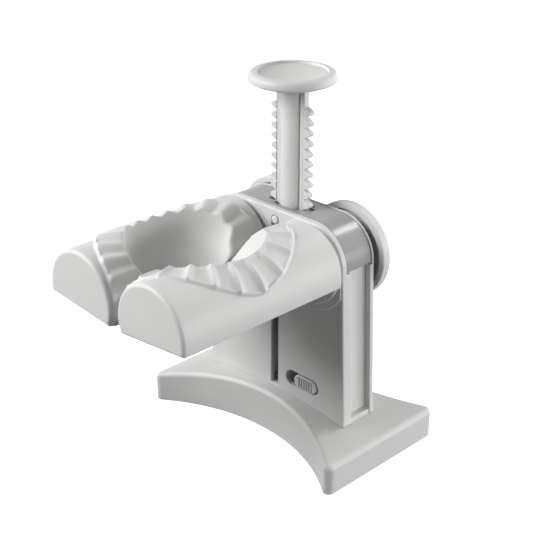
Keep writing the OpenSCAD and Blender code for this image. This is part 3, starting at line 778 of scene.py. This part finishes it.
@dataclass(frozen=True)
class Plunger:
    """Column with a rounded rib front and back, and its two rows of rack teeth."""

    low_z: float = 76.0
    top_z: float = 167.2
    root_x: float = 8.625
    tip_x: float = 12.0
    plate_half: float = 1.5
    plate_edge: float = 0.3
    rib_x: float = 5.3
    rib_y: float = 4.1
    rib_r: float = 6.7
    rib_edge: float = 0.5
    rib_fillet: float = 0.15
    groove_x: tuple[float, float] = (5.2, 6.1)
    groove_floor: float = 0.6  # from the plate's middle plane
    teeth: int = 17
    pitch: float = 4.712
    first_z: float = 80.22
    tooth_root: float = 2.28
    tooth_tip: float = 0.75
    tooth_round: float = 0.95
    tooth_sunk: float = 0.8
    tooth_reach: float = 2.6
    tooth_cell: float = 0.3
    notch: tuple[float, float, float] = (7.6, 80.6, 84.0)  # its floor, low edge and high edge
    notched_teeth: int = 2
    cell: float = 0.36

    def column(self, points: np.ndarray) -> np.ndarray:
        """Finds the distance to the column, toothless but for the right teeth at the lock's notch.

        Args:
            points: Points whose last dimension is X, Y and Z.

        Returns:
            The distance at each point, negative inside.
        """
        x, y, z = points[..., 0], np.abs(points[..., 1]), points[..., 2]
        plate = meet(np.abs(x) - self.root_x, y - self.plate_half, self.plate_edge)
        lens = np.hypot(x, y - self.rib_y + self.rib_r) - self.rib_r
        rib = meet(lens, np.abs(x) - self.rib_x, self.rib_edge)
        groove = np.maximum(between(x, *self.groove_x), self.groove_floor - y)
        body = np.maximum(join(plate, rib, self.rib_fillet), -groove)
        body = meet(body, between(z, self.low_z, self.top_z), self.plate_edge)
        for i in range(self.notched_teeth):
            body = np.minimum(body, self.tooth(points - [0, 0, self.first_z + i * self.pitch]))
        notch = np.maximum(self.notch[0] - x, between(z, self.notch[1], self.notch[2]))
        return np.maximum(body, -notch)

    def tooth(self, points: np.ndarray) -> np.ndarray:
        """Finds the distance to one tooth at the origin, pointing to +X.

        Args:
            points: Points whose last dimension is X, Y and Z.

        Returns:
            The distance at each point, negative inside.
        """
        x, y, z = points[..., 0], np.abs(points[..., 1]), np.abs(points[..., 2])
        share = (x - self.root_x) / (self.tip_x - self.root_x)
        half = self.tooth_root + (self.tooth_tip - self.tooth_root) * share
        lean = math.hypot(1, (self.tooth_root - self.tooth_tip) / (self.tip_x - self.root_x))
        flank = (z - half) / lean
        body = meet(flank, x - self.tip_x, self.tooth_round)
        body = meet(body, y - self.plate_half, self.plate_edge)
        return np.maximum(body, self.root_x - self.tooth_sunk - x)

    def build(self) -> list[bpy.types.Object]:
        """Makes the column and its teeth.

        Returns:
            The column, then the right and the left row of teeth.
        """
        column = carved("plunger_column", self.column, (-self.root_x, -self.rib_y, self.low_z),
                        (self.tip_x, self.rib_y, self.top_z), self.cell)
        seed = carved("tooth_seed", self.tooth,
                      (self.root_x - self.tooth_sunk, -self.plate_half, -self.tooth_reach),
                      (self.tip_x, self.plate_half, self.tooth_reach), self.tooth_cell)
        flipped = np.array([v.co for v in seed.data.vertices]) / MM * [-1, 1, 1]
        faces = [list(p.vertices)[::-1] for p in seed.data.polygons]
        other = mesh_object("tooth_seed_left", flipped, faces)
        rows = []
        for shape, word, skipped in ((seed, "right", self.notched_teeth), (other, "left", 0)):
            start = (0, 0, self.first_z + skipped * self.pitch)
            rows.append(RowOf(shape, self.teeth - skipped, start, (0, 0, self.pitch)).build(
                f"rack_teeth_{word}"))
        return [column, *rows]


@dataclass(frozen=True)
class Button:
    """Palm button on the column, with a rounded rim round a shallow dish.

    The outside is given by shares of the radius and of the height, with each corner's rounding.
    """

    radius: float = 19.5
    height: float = 5.1
    outside: tuple[tuple[float, float, float], ...] = (
        (0, 0, 0), (0.55, 0, 3), (0.9, 0.04, 1.2), (1, 0.22, 0.9), (1, 1, 2.5))
    dish_r: float = 15.7
    dish_edge: float = 0.15
    dish_low: float = 0.36
    dish_rise: float = 0.44
    dish_round: float = 0.2
    dish_shares: tuple[float, float, int] = (0.97, 0.07, 10)

    def build(self) -> bpy.types.Object:
        """Makes the button's mesh.

        Returns:
            The button, on top of the column.
        """
        h, d = self.height, self.dish_r
        outside = [(self.radius * out, h * up, bend) for out, up, bend in self.outside]
        dish = [(d * share, h * (self.dish_low + self.dish_rise * share * share), self.dish_round)
                for share in np.linspace(*self.dish_shares)]
        profile = rounded([*outside, (d, h, self.dish_edge), *dish, (0, h * self.dish_low, 0)])
        return lathe("button", profile, (0, 0, Plunger.top_z))


@dataclass(frozen=True)
class GuidePin:
    """Pin on the column that shows at the top of the slot."""

    radius: float = 2.0
    up: float = 106.3
    ends: tuple[float, float] = (-11.0, -4.2)

    def build(self) -> bpy.types.Object:
        """Makes the pin's mesh.

        Returns:
            The pin, its front end rounded.
        """
        front, rear = self.ends
        profile = rounded([
            (0, front, 0), (self.radius, front, 0.8), (self.radius, rear, 0.2), (0, rear, 0)])
        return lathe("pin", profile, (0, 0, self.up), Axis.SHAFT, steps=48)


@dataclass(frozen=True)
class RowOf:
    """A row of copies of one piece, spread along a straight step by Geometry Nodes."""

    shape: bpy.types.Object
    count: int
    start: tuple[float, float, float]
    step: tuple[float, float, float]

    def build(self, name: str) -> bpy.types.Object:
        """Makes the row.

        Args:
            name: The row's name.

        Returns:
            One mesh with every copy in it.
        """
        tree = bpy.data.node_groups.new(f"{name}_spread", "GeometryNodeTree")
        sockets = {
            "Geometry": ("NodeSocketGeometry", None), "Piece": ("NodeSocketObject", self.shape),
            "Count": ("NodeSocketInt", self.count),
            "Start": ("NodeSocketVector", tuple(v * MM for v in self.start)),
            "Step": ("NodeSocketVector", tuple(v * MM for v in self.step)),
            "Finish": ("NodeSocketMaterial", None)}
        keys = {label: tree.interface.new_socket(label, in_out="INPUT", socket_type=kind).identifier
                for label, (kind, _) in sockets.items()}
        tree.interface.new_socket("Geometry", in_out="OUTPUT", socket_type="NodeSocketGeometry")
        ins = node(tree, "NodeGroupInput").outputs
        line = node(tree, "GeometryNodeMeshLine", {
            "Count": ins["Count"], "Start Location": ins["Start"], "Offset": ins["Step"]})
        piece = node(tree, "GeometryNodeObjectInfo", {"Object": ins["Piece"]})
        copies = node(tree, "GeometryNodeInstanceOnPoints", {
            "Points": line.outputs["Mesh"], "Instance": piece.outputs["Geometry"]})
        real = node(tree, "GeometryNodeRealizeInstances", {"Geometry": copies.outputs["Instances"]})
        finish = node(tree, "GeometryNodeSetMaterial", {
            "Geometry": real.outputs["Geometry"], "Material": ins["Finish"]})
        node(tree, "NodeGroupOutput", {"Geometry": finish.outputs["Geometry"]})
        made = mesh_object(name, np.zeros((0, 3)), [])
        spread = made.modifiers.new("spread", "NODES")
        spread.node_group = tree
        for label, (_, value) in sockets.items():
            if value is not None:
                spread[keys[label]] = value
        settle(made)
        return made


@dataclass(frozen=True)
class Mould:
    """Half mould that rolls on its shaft: an arched back, a pleated ring and half a bowl."""

    side: Side
    axis_x: float = 22.5
    axis_z: float = 92.0
    back_r: float = 20.3
    length: float = 89.0
    rear_y: float = -13.0
    flat_drop: float = 5.9
    tilt_deg: float = 5.3
    wall: float = 2.2
    hub: float = 15.5
    bowl_r: float = 30.0
    bowl_rise: float = 26.5
    bowl_back: float = 45.0
    ring_plan_r: float = 41.2
    ring_turns: tuple[float, float, float] = (-1.6, 1.1, 1.4)  # inner end, steepest, outer end
    seam_turn: float = 2.6  # where the turns round the shaft start again
    least_steep: float = 0.4
    fan_deg: float = 52.0  # from the top inwards to where the pleats fan out
    far_r: float = 37.0
    valley_h: float = 0.35
    ridge_h: float = 1.95
    crest: tuple[float, float, float] = (0.15, 0.86, 3.6)  # a ridge's bluntness, span, power
    rim_share: float = 0.8
    rim_fade: tuple[float, float] = (-20.0, 12.0)  # where the rim starts, over what length
    rim_w: tuple[float, float] = (0.3, 3.2)  # its flat, its slope outwards
    lip_h: float = 1.1
    lip_w: float = 1.7
    lip_rise: float = 1.2
    step_w: float = 2.0
    front_round: float = 1.8
    rear_round: float = 0.6
    flat_round: float = 0.7
    rim_round: float = 1.1
    hollow_round: float = 0.4
    below: float = 10.0
    cell: float = 0.45

    @property
    def bowl_y(self) -> float:
        """Where the bowl's centre lies along the shaft."""
        return self.rear_y - self.bowl_back

    @property
    def pleat_places(self) -> tuple[tuple[float, ...], tuple[float, ...]]:
        """Angles round the ring in degrees, and the pleat's number at each; whole at a crest."""
        middle = 4.9 if self.side is Side.LEFT else 0.5
        return (-120, -91, -66, middle, 88, 120), (-8.3, -6, -4, 0, 5, 6.9)

    def pleats(self, turn: np.ndarray, across: np.ndarray, past_bowl: np.ndarray) -> np.ndarray:
        """Height of the sealing ring over the arched back.

        The right mould has narrow ridges, and a plain rim round the rear half of its bowl. The
        left mould has even waves that run out into the bowl.

        Args:
            turn: Angle round the shaft from the top, positive outwards, in radians.
            across: Distance from the bowl's centre along the shaft.
            past_bowl: Distance outside the bowl's ball.

        Returns:
            The height, 0 beyond the ring.
        """
        face_r = self.back_r + self.valley_h
        along = face_r * (turn + math.radians(self.fan_deg))
        angle = np.degrees(np.arctan2(np.abs(across), np.maximum(along, TINY)))
        angle = np.where(along > 0, angle, 90 + np.degrees(-along / self.far_r)) * np.sign(across)
        number = np.interp(angle, *self.pleat_places)
        offset = np.abs(number - np.round(number)) * 2
        if self.side is Side.RIGHT:
            blunt, span, power = self.crest
            ridge = np.maximum(1 - (np.hypot(offset, blunt) - blunt) / span, 0) ** power
            rim = ease((across - self.rim_fade[0]) / self.rim_fade[1])
            rim *= 1 - ease((past_bowl - self.rim_w[0]) / self.rim_w[1])
            ridge = np.maximum(ridge, self.rim_share * rim)
        else:
            ridge = 1 - ease(offset)
        inner, steep_end, outer = self.ring_turns
        plan_x = self.axis_x + face_r * np.sin(np.clip(turn, inner, outer))
        plan_x += face_r * np.maximum(turn - outer, 0)
        plan = np.hypot(plan_x, across)
        steep = np.hypot(plan_x / plan * np.cos(np.clip(turn, inner, steep_end)), across / plan)
        outside = (plan - self.ring_plan_r) / np.maximum(steep, self.least_steep)
        lip = ease((outside + self.lip_w) / self.lip_rise)
        height = self.valley_h + np.maximum(
            (self.ridge_h - self.valley_h) * ridge, (self.lip_h - self.valley_h) * lip)
        return height * ease(0.5 - outside / self.step_w)

    def distance(self, points: np.ndarray) -> np.ndarray:
        """Finds the distance to the mould.

        Args:
            points: Points whose last dimension is X, Y and Z.

        Returns:
            The distance at each point, negative inside.
        """
        x, y = points[..., 0] * self.side.value, points[..., 1]
        out, up = x - self.axis_x, points[..., 2] - self.axis_z
        radius = np.hypot(out, up)
        turn = np.arctan2(out, up)
        turn = np.where(turn > self.seam_turn, turn - 2 * math.pi, turn)
        centre = np.sqrt(x ** 2 + (y - self.bowl_y) ** 2 + (up - self.bowl_rise) ** 2)
        back = radius - self.back_r - self.pleats(turn, y - self.bowl_y, centre - self.bowl_r)
        tilt = math.radians(self.tilt_deg)
        flat = out * math.sin(tilt) - up * math.cos(tilt) - self.flat_drop
        front = self.rear_y - self.length
        body = meet(back, flat, self.flat_round)
        body = meet(body, y - self.rear_y, self.rear_round)
        body = meet(body, front - y, self.front_round)
        body = meet(body, self.bowl_r - centre, self.rim_round)
        hollow = np.maximum(radius - self.back_r + self.wall, self.bowl_r + self.wall - centre)
        hollow = np.maximum(hollow, between(y, front + self.wall, self.rear_y - self.hub))
        return cut(body, hollow, self.hollow_round)

    def build(self) -> bpy.types.Object:
        """Makes the mould's mesh.

        Returns:
            The left or the right mould.
        """
        reach = self.back_r + self.ridge_h
        middle = self.side.value * self.axis_x
        return carved(f"{self.side.word}_mould_shell", self.distance,
                      (middle - reach, self.rear_y - self.length, self.axis_z - self.below),
                      (middle + reach, self.rear_y, self.axis_z + reach), self.cell)


@dataclass(frozen=True)
class Disc:
    """Disc behind the upright that turns with its mould, dished towards the front."""

    side: Side
    radius: float = 22.1
    hub_r: float = 7.0
    dish_r: float = 18.5
    dish_d: float = 1.2
    dish_slope: float = 0.7
    front_y: float = 12.3
    hub_y: float = 11.5
    thick: float = 5.3
    recess: tuple[float, float] = (3.0, 2.4)

    def build(self) -> bpy.types.Object:
        """Makes the disc's mesh.

        Returns:
            The disc, with a recess for its screw.
        """
        rear, floor = self.front_y + self.thick, self.front_y + self.dish_d
        recess_r, recess_d = self.recess
        profile = rounded([
            (0, self.hub_y, 0), (self.hub_r, self.hub_y, 0.3), (self.hub_r, floor, 0.4),
            (self.dish_r, floor, 0.5), (self.dish_r + self.dish_slope, self.front_y, 0.5),
            (self.radius, self.front_y, 0.5), (self.radius, rear, 1.6), (recess_r, rear, 0.4),
            (recess_r, rear - recess_d, 0.1), (0, rear - recess_d, 0)])
        centre = (self.side.value * UPRIGHT.shaft_x, 0, UPRIGHT.shaft_z)
        return lathe(f"{self.side.word}_disc_turned", profile, centre, Axis.SHAFT, steps=180)


@dataclass(frozen=True)
class Bush:
    """Flanged bush that carries a mould's shaft in the front cover."""

    side: Side
    flange_r: float = 17.6
    body_r: float = 7.0
    bore_r: float = 4.05
    ends: tuple[float, float, float] = (-12.6, -11.1, -6.6)
    steps: int = 144

    def build(self) -> bpy.types.Object:
        """Makes the bush's mesh.

        Returns:
            The bush, open along its bore.
        """
        front, seat, rear = self.ends
        profile = rounded([
            (self.bore_r, front, 0), (self.flange_r, front, 0.45), (self.flange_r, seat, 0.25),
            (self.body_r, seat, 0.1), (self.body_r, rear, 0.4), (self.bore_r, rear, 0)])
        steps = self.steps
        angles = np.arange(steps) * 2 * math.pi / steps
        rows = np.array(profile)
        radii, depths = rows[:, None, 0], rows[:, None, 1]
        points = np.stack([
            radii * np.cos(angles), np.broadcast_to(depths, (len(rows), steps)),
            radii * np.sin(angles)], axis=-1).reshape(-1, 3)
        faces: list[list[int]] = []
        for row in range(len(rows)):
            a, b = row * steps, (row + 1) % len(rows) * steps
            for i in range(steps):
                j = (i + 1) % steps
                faces.append([a + j, a + i, b + i, b + j])
        centre = [self.side.value * UPRIGHT.shaft_x, 0, UPRIGHT.shaft_z]
        made = mesh_object(f"{self.side.word}_bush_turned", points + centre, faces)
        weigh_normals(made)
        return made


@dataclass(frozen=True)
class Knob:
    """Ribbed knob in the lock's window."""

    centre: tuple[float, float] = (20.0, 30.3)
    size: tuple[float, float] = (14.0, 6.3)
    ends: tuple[float, float] = (-10.9, -7.85)
    ribs: int = 6
    rib: tuple[float, float, float] = (0.8, 0.5, 4.79)  # width, height, length
    ribbed: float = 9.24
    recess_d: float = 0.6
    recess_r: float = 0.4
    recess_edge: float = 0.1
    front_edge: float = 0.5
    rear_edge: float = 0.2
    rib_edges: tuple[float, float] = (0.25, 0.3)
    rib_root: float = 0.2
    half_reach: float = 3.2
    cell: float = 0.22
    rib_box: tuple[tuple[float, float, float], ...] = ((-0.5, -0.6, -2.5), (0.5, 1.0, 2.5))
    rib_cell: float = 0.16

    def plate(self, points: np.ndarray) -> np.ndarray:
        """Finds the distance to the knob without its ribs.

        Args:
            points: Points whose last dimension is X, Y and Z.

        Returns:
            The distance at each point, negative inside.
        """
        x, y, z = points[..., 0], points[..., 1], points[..., 2]
        along = np.maximum(np.abs(x - self.centre[0]) - (self.size[0] - self.size[1]) / 2, 0)
        round_end = np.hypot(along, z - self.centre[1]) - self.size[1] / 2
        body = meet(round_end, self.ends[0] - y, self.front_edge)
        body = meet(body, y - self.ends[1], self.rear_edge)
        recess = meet(np.abs(x - self.centre[0]) - self.ribbed / 2,
                      np.abs(z - self.centre[1]) - self.rib[2] / 2, self.recess_r)
        recess = np.maximum(recess, y - self.ends[0] - self.recess_d)
        return cut(body, recess, self.recess_edge)

    def one_rib(self, points: np.ndarray) -> np.ndarray:
        """Finds the distance to one rib at the knob's middle height.

        Args:
            points: Points whose last dimension is X, Y and Z.

        Returns:
            The distance at each point, negative inside.
        """
        x, y, z = np.abs(points[..., 0]), points[..., 1], np.abs(points[..., 2] - self.centre[1])
        side = meet(x - self.rib[0] / 2, z - self.rib[2] / 2, self.rib_edges[0])
        body = meet(side, self.ends[0] - self.rib[1] - y, self.rib_edges[1])
        return np.maximum(body, y - self.ends[0] - self.recess_d - self.rib_root)

    def build(self) -> list[bpy.types.Object]:
        """Makes the knob and its ribs.

        Returns:
            The knob's plate, then the row of ribs.
        """
        across, up = self.centre
        front, rear = self.ends
        half, tall = self.size[0] / 2, self.half_reach
        plate = carved("lock_knob_plate", self.plate, (across - half, front, up - tall),
                       (across + half, rear, up + tall), self.cell)
        low, high = (np.array([0, front, up]) + corner for corner in self.rib_box)
        seed = carved("rib_seed", self.one_rib, low, high, self.rib_cell)
        pitch = self.ribbed / self.ribs
        start = across - pitch * (self.ribs - 1) / 2
        ribs = RowOf(seed, self.ribs, (start, 0, 0), (pitch, 0, 0)).build("lock_knob_ribs")
        return [plate, ribs]


@dataclass(frozen=True)
class PressCamera:
    """The camera at the photograph's viewing angle."""

    place: tuple[float, float, float] = (347.42, -358.01, 310.91)
    yaw: float = 0.7929
    pitch: float = 0.4335
    lens: float = 80.906
    sensor: float = 36.0

    def build(self) -> bpy.types.Object:
        """Makes the camera and gives it to the scene.

        Returns:
            The camera.
        """
        data = bpy.data.cameras.new("view")
        data.lens = self.lens
        data.sensor_width = self.sensor
        data.dof.use_dof = False
        made = bpy.data.objects.new("view", data)
        bpy.context.scene.collection.objects.link(made)
        right = Vector((math.cos(self.yaw), math.sin(self.yaw), 0))
        ahead = Vector((-math.sin(self.yaw) * math.cos(self.pitch),
                        math.cos(self.yaw) * math.cos(self.pitch), -math.sin(self.pitch)))
        turn = Matrix((right, right.cross(ahead), -ahead)).transposed()
        made.matrix_world = Matrix.Translation(Vector(self.place) * MM) @ turn.to_4x4()
        bpy.context.scene.camera = made
        return made


@dataclass(frozen=True)
class Lamp:
    """Square softbox that points at the press from a bearing and a height above the floor."""

    name: str
    bearing: float
    elevation: float
    watts: float
    size: float = 0.5
    reach: float = 0.9
    floor_gap: float = 0.02
    aim: tuple[float, float, float] = (0, -0.02, 0.07)

    def build(self) -> None:
        """Hangs the lamp; bearing 0 lights the front and 90 the press's right side."""
        turn, rise = math.radians(self.bearing), math.radians(self.elevation)
        aim = Vector(self.aim)
        level = math.cos(rise)
        way = Vector((math.sin(turn) * level, -math.cos(turn) * level, math.sin(rise)))
        spot = aim + way * self.reach
        spot.z = max(spot.z, self.size / 2 + self.floor_gap)
        data = bpy.data.lights.new(self.name, "AREA")
        data.size = self.size
        data.energy = self.watts
        made = bpy.data.objects.new(self.name, data)
        bpy.context.scene.collection.objects.link(made)
        face = (aim - spot).to_track_quat("-Z", "Y").to_matrix().to_4x4()
        made.matrix_world = Matrix.Translation(spot) @ face


@dataclass(frozen=True)
class Studio:
    """Plain pale floor and soft light, white where the camera sees past the press."""

    sky: float = 0.01
    bounce: float = 0.12
    glow: float = 0.9
    floor_half: float = 1200.0
    paper: str = "#F4F4F4"
    lamps: tuple[Lamp, ...] = (
        Lamp("key", 330, 35, 8.0), Lamp("left", 300, 35, 2.3), Lamp("low_left", 315, 12, 1.0),
        Lamp("right", 90, 5, 2.6, size=0.25), Lamp("right_rear", 120, 5, 2.0, size=0.25),
        Lamp("rear_right", 150, 5, 2.8, size=0.25), Lamp("rear", 195, 8, 1.4, size=0.3),
        Lamp("rear_high", 150, 35, 1.3), Lamp("edge", 170, 45, 1.8, size=0.18))

    @staticmethod
    def either(tree: bpy.types.NodeTree, *shares: bpy.types.NodeSocket) -> bpy.types.NodeSocket:
        """Gives the larger of two shares."""
        larger = node(tree, "ShaderNodeMath", dict(enumerate(shares)), operation="MAXIMUM")
        return larger.outputs["Value"]

    def build(self) -> None:
        """Makes the floor, the sky and the lamps."""
        bpy.context.scene.view_settings.view_transform = "Standard"
        world = bpy.data.worlds.new("studio")
        world.use_nodes = True
        bpy.context.scene.world = world
        tree = world.node_tree
        tree.nodes.clear()
        rays = node(tree, "ShaderNodeLightPath").outputs
        mirrored = self.either(tree, rays["Is Glossy Ray"], rays["Is Transmission Ray"])
        level = node(tree, "ShaderNodeMix", {
            "Factor": self.either(tree, rays["Is Camera Ray"], mirrored), "A": self.sky, "B": 1.0},
            data_type="FLOAT")
        sky = node(tree, "ShaderNodeBackground", {
            "Color": (1, 1, 1, 1), "Strength": level.outputs["Result"]})
        node(tree, "ShaderNodeOutputWorld", {"Surface": sky.outputs["Background"]})

        corners = np.array([[-1, -1, 0], [1, -1, 0], [1, 1, 0], [-1, 1, 0]]) * self.floor_half
        floor = mesh_object("floor", corners, [[0, 1, 2, 3]], smooth=False)
        pale, tree = empty_material("pale_floor")
        rays = node(tree, "ShaderNodeLightPath").outputs
        glow = node(tree, "ShaderNodeEmission", {"Color": (1, 1, 1, 1), "Strength": self.glow})
        paper = node(tree, "ShaderNodeBsdfDiffuse", {"Color": linear(self.paper)})
        seen = node(tree, "ShaderNodeAddShader", {
            0: paper.outputs["BSDF"], 1: glow.outputs["Emission"]})
        dull = node(tree, "ShaderNodeBsdfDiffuse", {"Color": (self.bounce,) * 3 + (1,)})
        mirrored = self.either(tree, rays["Is Glossy Ray"], rays["Is Transmission Ray"])
        unseen = node(tree, "ShaderNodeMixShader", {
            "Fac": mirrored, 1: dull.outputs["BSDF"], 2: glow.outputs["Emission"]})
        both = node(tree, "ShaderNodeMixShader", {
            "Fac": rays["Is Camera Ray"], 1: unseen.outputs["Shader"], 2: seen.outputs["Shader"]})
        node(tree, "ShaderNodeOutputMaterial", {"Surface": both.outputs["Shader"]})
        floor.data.materials.append(pale)
        for lamp in self.lamps:
            lamp.build()


@dataclass(frozen=True)
class Finishes:
    """The finishes of the press, each made once."""

    white: MouldedPlastic = MouldedPlastic("abs_satin_white", "#CECECD", "#C8C8C7", 0.5, 0.55, 0.03)
    bright: MouldedPlastic = MouldedPlastic("pp_satin_white", "#D0D0CF", "#CACAC9", 0.52, 0.5, 0.02)
    satin: MouldedPlastic = MouldedPlastic(
        "abs_silver_grey", "#979797", "#8F8F8F", 0.26, 0.4, 0.01, ior=1.46)
    steel: TurnedSteel = TurnedSteel("bright_drawn_steel", "#B9BBBE", 0.34, 0.5)
    zinc: TurnedSteel = TurnedSteel("zinc_plated_steel", "#A7A9AD", 0.42, 0.6)
    rubber: SoftRubber = SoftRubber("soft_grey_rubber", "#4C4D4F", 0.8)

    def by_slot(self) -> dict[str, bpy.types.Material]:
        """Makes each finish's material.

        Returns:
            The materials by the record's slots.
        """
        kinds = {"white_plastic": self.white, "bright_plastic": self.bright,
                 "satin_plastic": self.satin, "shaft_steel": self.steel,
                 "screw_steel": self.zinc, "grip_rubber": self.rubber}
        return {slot: kind.material() for slot, kind in kinds.items()}


@dataclass(frozen=True)
class Dresser:
    """Finishes by slot, and the slot and the body of each node, as the frame's record has them."""

    finishes: dict[str, bpy.types.Material]
    slots: dict[str, str]
    bodies: dict[str, str]

    def finish(self, piece: bpy.types.Object, name: str) -> None:
        """Gives a piece the finish of a node's slot, and no other."""
        piece.data.materials.clear()
        piece.data.materials.append(self.finishes[self.slots[name]])

    def stand_for(self, name: str, *pieces: bpy.types.Object) -> None:
        """Gives pieces a node's finish and body, and puts the first in its place.

        Args:
            name: The frame's node.
            pieces: What is shown for it.
        """
        body, slot = self.bodies[name], self.slots[name]
        for made in pieces:
            nodes = [name] if made is pieces[0] else []
            self.finish(made, name)
            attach(made, body)
            if nodes:
                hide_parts(*nodes)
            log.info("%s: %d faces on %s", made.name, len(made.data.polygons), body)


def main() -> None:
    """Builds the press's pieces in order and reports each one."""
    PressCamera().build()
    Studio().build()
    record = frame["record"]
    dresser = Dresser(
        Finishes().by_slot(),
        {part["node"]: part["material_slot"] for part in record["subparts"]},
        {name: body for body, names in record["behaviour"]["bodies"].items() for name in names})
    for name, piece in frame["nodes"].items():
        dresser.finish(piece, name)
    dresser.stand_for("base", Base().build())
    dresser.stand_for("front_cover", Cover(front=True, rim_d=5.5, edge_r=0.8).build())
    dresser.stand_for("rear_cover", Cover(front=False, rim_d=3.0, edge_r=1.2, bore_r=5.0).build())
    dresser.stand_for("trim_band", Band().build())
    dresser.stand_for("plunger_rack", *Plunger().build())
    dresser.stand_for("plunger_button", Button().build())
    dresser.stand_for("guide_pin", GuidePin().build())
    dresser.stand_for("lock_knob", *Knob().build())
    for side in Side:
        dresser.stand_for(f"{side.word}_mould", Mould(side).build())
        dresser.stand_for(f"{side.word}_disc", Disc(side).build())
        dresser.stand_for(f"{side.word}_front_bush", Bush(side).build())
    for seed in ("tooth_seed", "tooth_seed_left", "rib_seed"):
        bpy.data.objects.remove(bpy.data.objects[seed])


if __name__ == "__main__":
    logging.basicConfig(level=logging.INFO, format="%(name)s: %(message)s")
    main()
